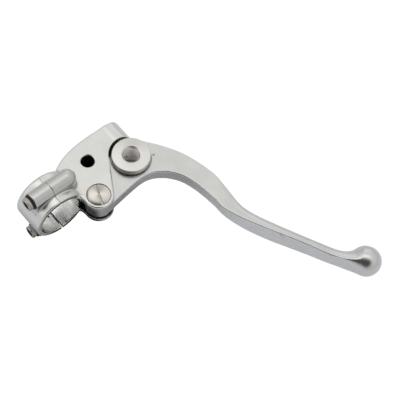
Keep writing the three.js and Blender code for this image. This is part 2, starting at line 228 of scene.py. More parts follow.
def triangle_wave(value, pitch):
    """From 1 at each whole number of pitches down to 0 halfway between them."""
    return np.abs(2 * ((value / pitch) % 1.0) - 1)


def step_up(value, start, end):
    """From 0 at start to 1 at end, smoothly."""
    t = np.clip((value - start) / (end - start), 0.0, 1.0)
    return t * t * (3 - 2 * t)


def polygon_distance(px, py, points):
    """Signed distance to a closed polygon, negative inside."""
    points = points[np.hypot(*(points - np.roll(points, 1, axis=0)).T) > 1e-9]
    best = np.full(np.broadcast(px, py).shape, 1e18)
    inside = np.zeros(best.shape, bool)
    for (ax, ay), (bx, by) in zip(points, np.roll(points, -1, axis=0)):
        ex, ey = bx - ax, by - ay
        t = np.clip(((px - ax) * ex + (py - ay) * ey) / (ex * ex + ey * ey), 0, 1)
        best = np.minimum(best, (px - ax - t * ex) ** 2 + (py - ay - t * ey) ** 2)
        if ay != by:
            inside ^= ((ay > py) != (by > py)) & (px < ex * (py - ay) / ey + ax)
    return np.where(inside, -1.0, 1.0) * np.sqrt(best)


def line_fields(px, py, points, values):
    """Distance to an open line, positive on its left, and values carried along it."""
    shape = np.broadcast(px, py).shape
    best = np.full(shape, 1e18)
    side = np.ones(shape)
    carried = [np.zeros(shape) for _ in values]
    last = len(points) - 2
    for i in range(len(points) - 1):
        (ax, ay), (bx, by) = points[i], points[i + 1]
        ex, ey = bx - ax, by - ay
        t = ((px - ax) * ex + (py - ay) * ey) / (ex * ex + ey * ey)
        t = np.clip(t, -1e9 if i == 0 else 0, 1e9 if i == last else 1)
        d = (px - ax - t * ex) ** 2 + (py - ay - t * ey) ** 2
        near = d < best
        best = np.where(near, d, best)
        side = np.where(near, np.sign(ex * (py - ay) - ey * (px - ax)), side)
        t = np.clip(t, 0, 1)
        for k, value in enumerate(values):
            carried[k] = np.where(near, value[i] * (1 - t) + value[i + 1] * t, carried[k])
    return np.sqrt(best) * side, carried


class PlanField:
    """A field over the XY plane, sampled once and read back with bicubic weights."""

    def __init__(self, low, high, step, function):
        self.low = np.array(low, float)
        self.step = step
        nx = int(math.ceil((high[0] - low[0]) / step)) + 1
        ny = int(math.ceil((high[1] - low[1]) / step)) + 1
        xs = low[0] + step * np.arange(nx)
        ys = low[1] + step * np.arange(ny)
        self.grids = [np.asarray(g) for g in function(xs[:, None], ys[None, :])]

    def read(self, x, y):
        gx = (np.asarray(x) - self.low[0]) / self.step
        gy = (np.asarray(y) - self.low[1]) / self.step
        nx, ny = self.grids[0].shape
        ix = np.clip(np.floor(gx).astype(int), 1, nx - 3)
        iy = np.clip(np.floor(gy).astype(int), 1, ny - 3)
        wx = self.weights(gx - ix)
        wy = self.weights(gy - iy)
        out = []
        for grid in self.grids:
            total = 0.0
            for a in range(4):
                for b in range(4):
                    total = total + wx[a] * wy[b] * grid[ix + a - 1, iy + b - 1]
            out.append(total)
        return out

    @staticmethod
    def weights(t):
        t = np.clip(t, 0, 1)
        return (
            ((-t + 2) * t - 1) * t / 2,
            ((3 * t - 5) * t * t + 2) / 2,
            ((-3 * t + 4) * t + 1) * t / 2,
            (t - 1) * t * t / 2,
        )


# ------------------------------------------------------------------ field to mesh
def surface_nets(values, low, step):
    """One vertex per cell that the surface crosses, one quad per edge that crosses it."""
    inside = values < 0
    shape = tuple(n - 1 for n in values.shape)
    total = np.zeros(shape + (3,))
    count = np.zeros(shape)
    crossings = []
    for axis in range(3):
        first = [slice(None)] * 3
        second = [slice(None)] * 3
        first[axis] = slice(None, -1)
        second[axis] = slice(1, None)
        a, b = values[tuple(first)], values[tuple(second)]
        crossed = inside[tuple(first)] != inside[tuple(second)]
        at = np.argwhere(crossed)
        va, vb = a[crossed], b[crossed]
        where = at.astype(float)
        where[:, axis] += va / (va - vb)
        crossings.append((at, va < 0))
        others = [k for k in range(3) if k != axis]
        for du in (0, -1):
            for dv in (0, -1):
                cell = at.copy()
                cell[:, others[0]] += du
                cell[:, others[1]] += dv
                key = tuple(cell.T)
                np.add.at(total, key, where)
                np.add.at(count, key, 1)
    active = count > 0
    number = np.full(shape, -1, int)
    number[active] = np.arange(active.sum())
    points = low + step * (total[active] / count[active][:, None])
    quads = []
    for axis in range(3):
        at, leaving = crossings[axis]
        u, v = [k for k in range(3) if k != axis]
        corners = []
        for du, dv in ((-1, -1), (0, -1), (0, 0), (-1, 0)):
            cell = at.copy()
            cell[:, u] += du
            cell[:, v] += dv
            corners.append(number[tuple(cell.T)])
        face = np.stack(corners, axis=1)
        flip = leaving if axis == 1 else ~leaving
        face[flip] = face[flip][:, ::-1]
        quads.append(face)
    return points, np.concatenate(quads)


def gradient(field, points, reach=0.02):
    """Slope of the field at each point, measured over twice the reach."""
    out = np.zeros_like(points)
    for axis in range(3):
        shift = np.zeros(3)
        shift[axis] = reach
        ahead = field(*(points + shift).T)
        behind = field(*(points - shift).T)
        out[:, axis] = (ahead - behind) / (2 * reach)
    return out


def unit(vectors):
    return vectors / np.maximum(np.linalg.norm(vectors, axis=-1, keepdims=True), 1e-9)


def corner_normals(field, points, quads):
    """Normals for every corner of every quad: smooth over curved faces, split at sharp edges."""
    normals = unit(gradient(field, points, 0.05))[quads]
    flat = unit(normals.mean(axis=1, keepdims=True))
    sharp = (normals * flat).sum(axis=2).min(axis=1) < math.cos(EDGE_ANGLE)
    corners = points[quads[sharp]]
    inside = corners + INWARD_SHARE * (corners.mean(axis=1, keepdims=True) - corners)
    own = unit(gradient(field, inside.reshape(-1, 3), 0.03)).reshape(corners.shape)
    turned = (own * normals[sharp]).sum(axis=2, keepdims=True) < math.cos(SPLIT_ANGLE)
    normals[sharp] = np.where(turned, own, normals[sharp])
    return normals.reshape(-1, 3)


def field_piece(name, field, low, high, step, body, material, nodes, zones=()):
    """Meshes a field, lays its vertices on the surface and adds it to the scene.

    low and high are opposite corners of a box around the piece, and step is the size of the
    mesh's cells. zones pairs a material with a test of where on the surface it is.
    """
    step = step * COARSER
    low = np.array(low, float) - MARGIN_CELLS * step
    high = np.array(high, float) + 2 * step
    n = np.ceil((high - low) / step).astype(int) + 1
    axes = [low[k] + step * np.arange(n[k]) for k in range(3)]
    values = field(axes[0][:, None, None], axes[1][None, :, None], axes[2][None, None, :])
    values = np.broadcast_to(values, tuple(n))
    points, quads = surface_nets(values, low, step)
    for _ in range(PROJECTION_STEPS):
        slope = gradient(field, points)
        length2 = np.maximum((slope ** 2).sum(1), 0.05)
        move = -slope * (field(*points.T) / length2)[:, None]
        size = np.linalg.norm(move, axis=1)
        move *= np.minimum(1.0, 0.5 * step / np.maximum(size, 1e-9))[:, None]
        points = points + move
    mesh = bpy.data.meshes.new(name)
    mesh.from_pydata((points * MM).tolist(), [], quads.tolist())
    mesh.polygons.foreach_set("use_smooth", np.ones(len(quads), bool))
    mesh.update()
    mesh.normals_split_custom_set(corner_normals(field, points, quads).tolist())
    piece = bpy.data.objects.new(name, mesh)
    bpy.context.scene.collection.objects.link(piece)
    mesh.materials.append(material)
    centres = points[quads].mean(axis=1)
    chosen = np.zeros(len(quads), int)
    for number, (zone_material, where) in enumerate(zones, start=1):
        mesh.materials.append(zone_material)
        chosen[where(*centres.T)] = number
    mesh.polygons.foreach_set("material_index", chosen)
    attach(piece, body)
    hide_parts(*nodes)
    return piece


# ------------------------------------------------------------------ plan outlines
def arc(centre, radius, start, end, pieces):
    angles = np.linspace(start, end, pieces)
    return [(centre[0] + radius * math.cos(a), centre[1] + radius * math.sin(a)) for a in angles]


def quadratic(a, b, c, pieces):
    """A curve from a to c that b pulls on."""
    ts = np.linspace(0, 1, pieces)
    weights = [((1 - t) ** 2, 2 * t * (1 - t), t * t) for t in ts]
    return [tuple(a[k] * wa + b[k] * wb + c[k] * wc for k in (0, 1)) for wa, wb, wc in weights]


def tangent_angle(a, ra, b, rb, turn, same_side):
    """Angle, seen from centre a, where a straight line leaves circle a to touch circle b.

    turn is 1 or -1 for the side of a, and same_side is -1 where the line crosses over.
    """
    dx, dy = b[0] - a[0], b[1] - a[1]
    return math.atan2(dy, dx) + turn * math.acos((ra - same_side * rb) / math.hypot(dx, dy))


def spline(points, per_span):
    """Uniform Catmull-Rom curve through points of any dimension."""
    p = np.array(points, float)
    p = np.vstack([2 * p[0] - p[1], p, 2 * p[-1] - p[-2]])
    out = []
    for i in range(1, len(p) - 2):
        for t in np.arange(per_span) / per_span:
            a, b, c, d = p[i - 1], p[i], p[i + 1], p[i + 2]
            out.append(0.5 * (2 * b + (c - a) * t + (2 * a - 5 * b + 4 * c - d) * t * t
                              + (3 * b - a - 3 * c + d) * t ** 3))
    out.append(p[-2])
    return np.array(out)


def bracket_outline():
    nose = tangent_angle(PIVOT, NOSE_R, EYE, CUTOUT_R, -1, -1)
    points = [(-RING_HALF_WIDTH, 4.0), (RING_HALF_WIDTH, 4.0)]
    points += quadratic((RING_HALF_WIDTH, EAR_ROOT_Y), (RING_HALF_WIDTH + 2, PIVOT[1] - NOSE_R),
                        (PIVOT[0], PIVOT[1] - NOSE_R), 12)
    points += arc(PIVOT, NOSE_R, -math.pi / 2, nose, 40)
    points += arc(EYE, CUTOUT_R, nose - math.pi, -math.pi - 0.05, 40)
    points += [(PLATE_LEFT_X, ADJUSTER_Y)]
    points += quadratic((PLATE_LEFT_X, 40.0), (PLATE_LEFT_X - 0.2, 20.0), (-9.5, 10.5), 30)
    return np.array(points)


def slot_outline():
    """Plan of the slot between the ears, away from the lever's tongue and eye."""
    nose_r = NOSE_R + SLOT_CLEARANCE
    eye_r = EYE_R + SLOT_CLEARANCE
    side = tangent_angle(PIVOT, nose_r, EYE, eye_r, 1, 1)
    points = [(PIVOT[0] + nose_r * math.cos(side), PIVOT[1] + nose_r * math.sin(side))]
    points += [(SLOT_ROOT[0], PIVOT[1] - 4), SLOT_ROOT, (50.0, SLOT_ROOT[1]), (50.0, EYE[1]), EYE]
    points += [(EYE[0] + eye_r * math.cos(side), EYE[1] + eye_r * math.sin(side))]
    return np.array(points)


def lever_lines():
    """The ribs and the back edge, filled in between their points."""
    ribs = spline(RIBS, 12)
    back = spline(BACK_EDGE + [rib[2:4] for rib in RIBS], 12)
    return ribs, back


def lever_outline():
    ribs, back = lever_lines()
    side = tangent_angle(PIVOT, TONGUE_R, EYE, EYE_R, 1, 1)
    points = arc(PIVOT, TONGUE_R, 0.0, side - 2 * math.pi, 60)
    points += arc(EYE, EYE_R, side, math.radians(112), 60)
    points += [tuple(p) for p in ribs[:, :2]]
    points += [BALL]
    points += [tuple(p) for p in back[::-1]]
    return np.array(points)


def bracket_distance(x, y):
    return [polygon_distance(x, y, bracket_outline())]


def slot_distance(x, y):
    return [polygon_distance(x, y, slot_outline())]


def lever_fields(x, y):
    """Distances to the outline and to the front and back edges, and the ribs' sections."""
    ribs, back = lever_lines()
    front_line = ribs[:, :2]
    back_line = ribs[:, 2:4]
    to_front, _ = line_fields(x, y, front_line, [])
    to_back, carried = line_fields(x, y, back_line, [ribs[:, 4], ribs[:, 5], ribs[:, 6]])
    return [polygon_distance(x, y, lever_outline()), -to_front, to_back, *carried]


bracket_plan = PlanField((-24, -2), (30, 66), 0.25, bracket_distance)
slot_plan = PlanField((-24, -2), (56, 66), 0.25, slot_distance)
lever_plan = PlanField((-12, 8), (148, 126), 0.35, lever_fields)


# ------------------------------------------------------------------ the castings
def clamp_ring(x, y, z):
    """Outside of the clamp, whose edge is rounder at the end towards -X."""
    r = np.sqrt(y * y + z * z)
    soft = 2.4 - 1.7 * step_up(x, -4, 4)
    return rounded(r - RING_R, np.abs(x) - RING_HALF_WIDTH, soft)


def to_bolt(x, z):
    """Distance from the nearer bolt's axis."""
    return np.minimum(*[np.sqrt((x - BOLT_X) ** 2 + (z - at) ** 2) for at in BOLTS_Z])


def to_boss(x, z):
    """Distance from the line that joins the axes of the two bolts."""
    out = np.maximum(np.maximum(z - BOLTS_Z[0], BOLTS_Z[1] - z), 0)
    return np.sqrt((x - BOLT_X) ** 2 + out * out)


def joint_gap(z):
    """Half the gap between the clamp's halves: they almost touch above and stand apart below."""
    return UPPER_JOINT + (LOWER_JOINT - UPPER_JOINT) * step_up(-z, -6.0, 0.0)


def bore(x, y, z):
    """The clamp's bore for the bar."""
    return np.sqrt(y * y + z * z) - BORE_R


def slot_between_ears(x, y, z):
    """Room for the lever's tongue and eye as they turn about the pivot."""
    plan = np.minimum(slot_plan.read(x, y)[0], rod(x, y, PIVOT, NOSE_R + SLOT_CLEARANCE))
    plan = np.minimum(plan, rod(x, y, EYE, EYE_R + SLOT_CLEARANCE))
    return np.maximum(plan, np.maximum(z - SLOT_TOP, SLOT_BOTTOM - z))


def mirror_hole(x, y, z):
    """A blind threaded hole with a broken edge."""
    thread = 0.12 * triangle_wave(z, MIRROR_PITCH)
    across = rod(x, y, MIRROR, MIRROR_HOLE_R)
    inside = np.maximum(across + thread * (z < PLATE_Z - 1.0), MIRROR_FLOOR - z)
    return np.minimum(inside, (across - (z - PLATE_Z + 0.45)) * math.sqrt(0.5))


def adjuster_boss(x, y, z):
    """The plate's round end along X, for the cable's adjuster."""
    boss = rounded(rod(y, z, (ADJUSTER_Y, 0), PLATE_Z), PLATE_LEFT_X - x, 1.3)
    return np.maximum(boss, x - ADJUSTER_END_X)


def adjuster_hole(x, y, z):
    """A hole along X with a broken edge, up to the cutout for the barrel."""
    across = rod(y, z, (ADJUSTER_Y, 0), ADJUSTER_HOLE_R)
    mouth = (across - (PLATE_LEFT_X + 0.6 - x)) * math.sqrt(0.5)
    return np.maximum(np.minimum(across, mouth), x - EYE[0])


def bolt_bosses(x, y, z):
    """The bosses of both bolts, joined in one and round at their ends."""
    up = np.maximum(y - BOSS_ROUND_Y, 0)
    return np.sqrt(to_boss(x, z) ** 2 + up * up) - BOSS_R


def bracket_field(x, y, z):
    """Half of the clamp with its bosses, and the plate that forks into the two ears."""
    from_cutout = rod(x, y, EYE, CUTOUT_R)
    edge = 0.4 + 0.6 * step_up(from_cutout, 0.5, 3.2)
    plate = rounded(bracket_plan.read(x, y)[0], np.abs(z) - PLATE_Z, edge)
    plate = smooth_min(plate, adjuster_boss(x, y, z), 0.6)
    plate = np.maximum(plate, PLATE_LEFT_X - x)
    body = smooth_min(clamp_ring(x, y, z), bolt_bosses(x, y, z), 0.9)
    body = smooth_min(body, plate, 1.5)
    body = cut(body, from_cutout, 0.45)
    body = smooth_max(body, joint_gap(z) - y, 0.15)
    body = cut(body, bore(x, y, z), 0.5)
    body = cut(body, np.maximum(to_bolt(x, z) - BOLT_HOLE_R, y - BOLT_END_Y - 1.5), 0.3)
    body = cut(body, mirror_hole(x, y, z), 0.12)
    body = cut(body, slot_between_ears(x, y, z), 0.3)
    body = cut(body, adjuster_hole(x, y, z), 0.15)
    shoulder = np.maximum(rod(x, y, PIVOT, SHOULDER_R + 0.15), -z)
    head = np.maximum(rod(x, y, PIVOT, SCREW_HEAD_R + 0.12), SCREW_HEAD_SEAT - 0.1 - z)
    thread = np.maximum(rod(x, y, PIVOT, THREAD_R + 0.2), z)
    for hole in (shoulder, head, thread):
        body = cut(body, hole, 0.2)
    return body


def cap_field(x, y, z):
    """The other half of the clamp, with shallow seats for the washers."""
    bosses = rounded(to_boss(x, z) - BOSS_R, CAP_FACE_Y - y, 0.45)
    body = smooth_min(clamp_ring(x, y, z), bosses, 0.9)
    body = smooth_max(body, y + joint_gap(z), 0.15)
    body = cut(body, bore(x, y, z), 0.5)
    body = cut(body, to_bolt(x, z) - BOLT_HOLE_R, 0.3)
    return cut(body, np.maximum(to_bolt(x, z) - COUNTERBORE_R, y - COUNTERBORE_SEAT), 0.2)


def grip_field(x, z, front, back, height, square, crown):
    """The lever past its bend, with superellipse sections that are widest at the crown."""
    width = np.maximum(front + back, 1.0)
    share = back / width
    crown = np.clip(crown, 0.0, 0.5)
    ahead = np.maximum(share - crown, 0.0) / (1 - crown)
    behind = np.maximum(crown - share, 0.0) / np.maximum(crown, 0.12)
    square = np.clip(square, 2.0, 14.0)
    level = ((ahead + behind) ** square + (np.abs(z) / height) ** square) ** (1 / square)
    bend = step_up(x, 48.0, 58.0) * (1 - step_up(x, 66.0, 80.0))
    soft = 0.55 + 0.5 * bend + 0.6 * step_up(x, 114.0, 126.0)
    return rounded((level - 1) * np.minimum(width, height), -back, soft)


def with_ball(body, x, y, z):
    """The lever shrunk away inside its ball end, and joined to it with a fillet."""
    past = (x - BALL[0]) * NECK_DIRECTION[0] + (y - BALL[1]) * NECK_DIRECTION[1]
    body = np.maximum(body + NECK_BLEND * step_up(past, -4.0, 3.0), past - 3.0)
    return smooth_min(body, sphere(x, y, z, (*BALL, 0), BALL_R), NECK_BLEND)


def cable_window(x, y, z):
    """A slit through the rim of the lever's eye, for the cable on its way to the barrel."""
    angle = np.arctan2(y - EYE[1], x - EYE[0])
    turned = np.abs((angle - CABLE_WINDOW_ANGLE + math.pi) % (2 * math.pi) - math.pi)
    to_eye = rod(x, y, EYE, 0)
    window = (turned - CABLE_WINDOW_HALF_ANGLE) * np.maximum(to_eye, 1.0)
    window = np.maximum(window, np.abs(z) - CABLE_WINDOW_HALF_HEIGHT)
    return np.maximum(window, to_eye - CABLE_WINDOW_REACH)


def lever_field(x, y, z):
    """A flat plate up to the bend, then the grip, and a ball at its end."""
    outline, *section = lever_plan.read(x, y)
    plate = rounded(outline, np.abs(z) - LEVER_HALF_T, 0.75)
    plateness = 1 - step_up(x, 44.0, 66.0)
    body = plate * plateness + grip_field(x, z, *section) * (1 - plateness)
    body = np.where(plateness > 0.999, plate, body)
    body = with_ball(body, x, y, z)
    for *centre, radius in CASTING_PITS:
        body = cut(body, sphere(x, y, z, centre, radius), 0.2)
    body = cut(body, rod(x, y, PIVOT, BUSH_R + 0.05), 0.4)
    body = cut(body, rod(x, y, EYE, STUB_R + 0.25), 0.3)
    pocket = np.maximum(rod(x, y, EYE, BARREL_R + 0.35), BARREL_UNDER - 0.25 - z)
    body = cut(body, pocket, 0.35)
    return cut(body, cable_window(x, y, z), 0.4)


# ------------------------------------------------------------------ the turned pieces
def bolt_field(x, y, z):
    """A socket head screw along Y with its head's face at BOLT_FACE_Y."""
    x = x - BOLT_X
    r = np.sqrt(x * x + z * z)
    back = BOLT_FACE_Y + BOLT_HEAD_H
    head = rounded(rounded(r - BOLT_HEAD_R, BOLT_FACE_Y - y, 0.55), y - back, 0.2)
    wave = 0.16 * triangle_wave(y, BOLT_PITCH) - 0.08
    shank = rounded(r - BOLT_R + 0.1 + wave * (y > back + 3), y - BOLT_END_Y, 0.5)
    shank = np.maximum(shank, back - 0.5 - y)
    body = np.minimum(head, shank)
    knurl = 0.05 * np.cos(BOLT_KNURLS * np.arctan2(z, x))
    knurled = (y > BOLT_FACE_Y + 0.9) & (y < back - 0.5) & (r > BOLT_HEAD_R - 0.6)
    body = body + knurl * knurled
    socket = prism_sides(x, z, HEX_ACROSS, 6, HEX_TURN)
    socket = np.maximum(socket, y - BOLT_FACE_Y - HEX_DEPTH)
    cone = (r - HEX_ACROSS / 2 - 0.25 - (BOLT_FACE_Y + 0.25 - y)) * math.sqrt(0.5)
    return cut(body, np.minimum(socket, cone), 0.12)


def washer_field(x, y, z):
    """A plain washer behind a bolt's head."""
    x = x - BOLT_X
    r = np.sqrt(x * x + z * z)
    low = BOLT_FACE_Y + BOLT_HEAD_H + 0.05
    body = rounded(rounded(r - WASHER_R, low - y, 0.15), y - low - WASHER_T, 0.15)
    return cut(body, r - BOLT_HOLE_R, 0.15)


def pivot_screw_field(x, y, z):
    """A shoulder screw with a slotted, domed head."""
    px, py = x - PIVOT[0], y - PIVOT[1]
    r = np.sqrt(px * px + py * py)
    rim = PLATE_Z - 0.4
    rise = np.maximum(z - rim, 0) / (SCREW_HEAD_TOP - rim)
    dome = ((r / SCREW_HEAD_R) ** 2 + rise ** 2) ** 0.5 - 1
    head = rounded(dome * 1.35, SCREW_HEAD_SEAT - z, 0.2)
    shoulder = rounded(r - SHOULDER_R, SLOT_BOTTOM + 0.3 - z, 0.2)
    shoulder = np.maximum(shoulder, z - SCREW_HEAD_SEAT - 0.5)
    wave = (0.2 * triangle_wave(z, THREAD_PITCH) - 0.1) * (z < SLOT_BOTTOM - 1)
    thread = np.maximum(rounded(r - THREAD_R + 0.1 + wave, SCREW_END - z, 0.5), z)
    body = np.minimum(np.minimum(head, shoulder), thread)
    side = -px * math.sin(SCREW_SLOT_ANGLE) + py * math.cos(SCREW_SLOT_ANGLE)
    floor_z = SCREW_HEAD_TOP - SCREW_SLOT_DEPTH
    return cut(body, np.maximum(np.abs(side) - SCREW_SLOT_HALF_WIDTH, floor_z - z), 0.15)


def pivot_nut_field(x, y, z):
    """A hexagon nut with both its ends chamfered."""
    px, py = x - PIVOT[0], y - PIVOT[1]
    r = np.sqrt(px * px + py * py)
    bottom = NUT_TOP - NUT_H
    body = rounded(prism_sides(px, py, NUT_ACROSS, 6, NUT_TURN), z - NUT_TOP, 0.2)
    body = rounded(body, bottom - z, 0.2)
    for edge in (NUT_TOP - z, z - bottom):
        body = np.maximum(body, (r - NUT_ACROSS / 2 - 0.15 - edge * 1.7) * 0.5)
    return cut(body, r - THREAD_R - 0.2, 0.3)


def ring_field(centre, inner, outer, low, high, soft):
    """Field of a plain ring along Z with broken edges."""
    def field(x, y, z):
        r = rod(x, y, centre, 0)
        body = rounded(rounded(r - outer, z - high, soft), low - z, soft)
        return cut(body, r - inner, soft)
    return field


def barrel_field(x, y, z):
    """A crowned disc on a stub, with a flared blind bore for the nipple and a cable slot."""
    px, py = x - EYE[0], y - EYE[1]
    r = np.sqrt(px * px + py * py)
    groove = GROOVE_DEPTH * np.exp(-((z - GROOVE_Z) / GROOVE_HALF_WIDTH) ** 2)
    top = z - BARREL_TOP + BARREL_CROWN * r * r
    disc = rounded(rounded(r - BARREL_R + groove, top, 0.5), BARREL_UNDER - z, 0.2)
    stub = rounded(r - STUB_R, STUB_END - z, 0.35)
    stub = np.maximum(stub, z - BARREL_UNDER - 0.5)
    snap = np.abs(z - SNAP_GROOVE_Z) - SNAP_GROOVE_HALF_WIDTH
    stub = cut(stub, np.maximum(snap, STUB_R - SNAP_GROOVE_DEPTH - r), 0.1)
    body = np.minimum(disc, stub)
    hole = np.maximum(r - NIPPLE_R, NIPPLE_FLOOR - z)
    funnel = (r - FUNNEL_R + (BARREL_TOP - z) * FUNNEL_SLOPE) / math.hypot(1, FUNNEL_SLOPE)
    body = cut(body, funnel, 0.5)
    body = cut(body, hole, 0.3)
    slot = np.maximum(np.abs(py) - CABLE_SLOT_HALF_WIDTH, px)
    slot = np.maximum(slot, np.abs(z - CABLE_SLOT_Z) - CABLE_SLOT_HALF_HEIGHT)
    return cut(body, slot, 0.2)


def clip_field(x, y, z):
    """An open snap ring in the groove of the barrel's stub."""
    px, py = x - EYE[0], y - EYE[1]
    r = np.sqrt(px * px + py * py)
    body = rounded(rounded(r - STUB_R - 1.6, z - CLIP_Z[1], 0.15), CLIP_Z[0] - z, 0.15)
    body = cut(body, r - STUB_R + 0.75, 0.15)
    gap = np.abs(np.arctan2(py, px)) - CLIP_GAP_ANGLE
    return cut(body, gap * np.maximum(r, 1.0), 0.2)


def shifted(field, dz):
    """The field moved up by dz."""
    return lambda x, y, z: field(x, y, z - dz)


# ------------------------------------------------------------------ materials
# Painted shade: the disc and the screw's head are painted darker on the two sides that this
# direction points to, where their reflections look dark.
SHADE_FAN_DIRECTION = (0.785, -0.620, 0.0)


def new_material(name):
    """A material, its node tree and its surface shader."""
    material = bpy.data.materials.new(name)
    material.use_nodes = True
    tree = material.node_tree
    return material, tree, tree.nodes["Principled BSDF"]


def noise(tree, vector, scale, detail):
    node = tree.nodes.new("ShaderNodeTexNoise")
    node.inputs["Scale"].default_value = scale
    node.inputs["Detail"].default_value = detail
    tree.links.new(vector, node.inputs["Vector"])
    return node.outputs["Fac"]


def mottle(tree, shader, factor, base, share):
    """Base colour that varies with factor, from share times base up to base."""
    colour = tree.nodes.new("ShaderNodeValToRGB")
    low, high = colour.color_ramp.elements
    low.position = 0.3
    low.color = (*[c * share for c in base], 1)
    high.position = 0.7
    high.color = (*base, 1)
    tree.links.new(factor, colour.inputs["Fac"])
    tree.links.new(colour.outputs["Color"], shader.inputs["Base Color"])


def vary_roughness(tree, shader, factor, low, high):
    spread = tree.nodes.new("ShaderNodeMapRange")
    spread.inputs["To Min"].default_value = low
    spread.inputs["To Max"].default_value = high
    tree.links.new(factor, spread.inputs["Value"])
    tree.links.new(spread.outputs["Result"], shader.inputs["Roughness"])


def add_bump(tree, shader, height, strength, distance):
    bump = tree.nodes.new("ShaderNodeBump")
    bump.inputs["Strength"].default_value = strength
    bump.inputs["Distance"].default_value = distance
    tree.links.new(height, bump.inputs["Height"])
    tree.links.new(bump.outputs["Normal"], shader.inputs["Normal"])


def cast_material(name, base, rough, grain):
    """Blasted metal: a fine grain in relief, and broad changes of tone and gloss."""
    material, tree, shader = new_material(name)
    shader.inputs["Metallic"].default_value = 1.0
    place = tree.nodes.new("ShaderNodeTexCoord").outputs["Object"]
    fine = noise(tree, place, 2600.0, 4.0)
    broad = noise(tree, place, 130.0, 5.0)
    mottle(tree, shader, broad, base, 0.94)
    vary_roughness(tree, shader, broad, rough - 0.04, rough + 0.05)
    add_bump(tree, shader, fine, grain, 0.00006)
    return material


def plain_material(name, base, rough):
    """A non-metallic surface, faintly mottled and with little gloss, used for painted shade and
    painted light in holes and recesses and on the washers.
    """
    material, tree, shader = new_material(name)
    place = tree.nodes.new("ShaderNodeTexCoord").outputs["Object"]
    mottle(tree, shader, noise(tree, place, 700.0, 2.0), base, 0.85)
    shader.inputs["Roughness"].default_value = rough
    shader.inputs["Specular IOR Level"].default_value = 0.15
    return material


def painted_shade_fan(tree, shader, offset, base, fan):
    """Painted shade: darkens base by up to the share fan on both sides of the centre, along the
    shade fan's direction.
    """
    outward = tree.nodes.new("ShaderNodeVectorMath")
    outward.operation = "NORMALIZE"
    tree.links.new(offset, outward.inputs[0])
    along = tree.nodes.new("ShaderNodeVectorMath")
    along.operation = "DOT_PRODUCT"
    along.inputs[1].default_value = SHADE_FAN_DIRECTION
    tree.links.new(outward.outputs["Vector"], along.inputs[0])
    squared = tree.nodes.new("ShaderNodeMath")
    squared.operation = "MULTIPLY"
    tree.links.new(along.outputs["Value"], squared.inputs[0])
    tree.links.new(along.outputs["Value"], squared.inputs[1])
    tone = tree.nodes.new("ShaderNodeValToRGB")
    tone.color_ramp.elements[0].color = (*base, 1)
    tone.color_ramp.elements[1].color = (*[c * (1 - fan) for c in base], 1)
    tree.links.new(squared.outputs["Value"], tone.inputs["Fac"])
    tree.links.new(tone.outputs["Color"], shader.inputs["Base Color"])


def turned_material(name, base, rough, centre, axis, spacing, depth, brushed=0.0, fan=0.0):
    """Metal with fine lathe marks, spacing apart, round a line through centre along axis.

    brushed stretches its reflections along the marks, and fan paints shade into its colour on
    both sides along the shade fan's direction.
    """
    material, tree, shader = new_material(name)
    shader.inputs["Metallic"].default_value = 1.0
    shader.inputs["Base Color"].default_value = (*base, 1)
    coords = tree.nodes.new("ShaderNodeTexCoord")
    shift = tree.nodes.new("ShaderNodeMapping")
    shift.inputs["Location"].default_value = [-c * MM for c in centre]
    tree.links.new(coords.outputs["Object"], shift.inputs["Vector"])
    squash = tree.nodes.new("ShaderNodeMapping")
    squash.inputs["Scale"].default_value = [0.0 if k == axis else 1.0 for k in range(3)]
    tree.links.new(shift.outputs["Vector"], squash.inputs["Vector"])
    length = tree.nodes.new("ShaderNodeVectorMath")
    length.operation = "LENGTH"
    tree.links.new(squash.outputs["Vector"], length.inputs[0])
    split = tree.nodes.new("ShaderNodeSeparateXYZ")
    tree.links.new(shift.outputs["Vector"], split.inputs["Vector"])
    join = tree.nodes.new("ShaderNodeCombineXYZ")
    tree.links.new(length.outputs["Value"], join.inputs["X"])
    tree.links.new(split.outputs[axis], join.inputs["Y"])
    marks = noise(tree, join.outputs["Vector"], 1.0 / (spacing * MM), 3.0)
    add_bump(tree, shader, marks, depth, 0.00005)
    vary_roughness(tree, shader, marks, rough - 0.05, rough + 0.06)
    shader.inputs["Anisotropic"].default_value = brushed
    tangent = tree.nodes.new("ShaderNodeTangent")
    tangent.direction_type = "RADIAL"
    tangent.axis = "XYZ"[axis]
    tree.links.new(tangent.outputs["Tangent"], shader.inputs["Tangent"])
    # painted shade on the two sides of the head or disc
    if fan:
        painted_shade_fan(tree, shader, squash.outputs["Vector"], base, fan)
    return material


X_AXIS, Y_AXIS, Z_AXIS = range(3)
BAR_LINE = ((0, 0, 0), X_AXIS)
BOLT_LINE = ((BOLT_X, 0, 0), Y_AXIS)
PIVOT_LINE = ((*PIVOT, 0), Z_AXIS)
EYE_LINE = ((*EYE, 0), Z_AXIS)

cast = cast_material("blasted_aluminium", (0.59, 0.59, 0.575), 0.26, 0.3)
cast_lever = cast_material("blasted_lever", (0.535, 0.535, 0.53), 0.26, 0.25)
# The bosses get a darker copy of the blasted metal as painted shade.
cast_boss_painted_shade = cast_material("blasted_boss_painted_shade", (0.47, 0.47, 0.46), 0.24, 0.3)
machined = turned_material("machined_bore", (0.72, 0.715, 0.70), 0.17, *BAR_LINE, 0.4, 0.25)
steel = turned_material("bolt_steel", (0.36, 0.345, 0.32), 0.3, *BOLT_LINE, 0.25, 0.3)
# fan paints shade on the screw's head and the barrel's disc
nickel = turned_material("nickel_head", (0.65, 0.62, 0.565), 0.28, *PIVOT_LINE, 0.16, 0.4,
                         brushed=0.8, fan=0.42)
bright = turned_material("turned_steel", (0.62, 0.61, 0.585), 0.29, *EYE_LINE, 0.22, 0.4,
                         brushed=0.65, fan=0.14)
bronze = turned_material("bearing_bronze", (0.62, 0.46, 0.24), 0.38, *PIVOT_LINE, 0.2, 0.4)
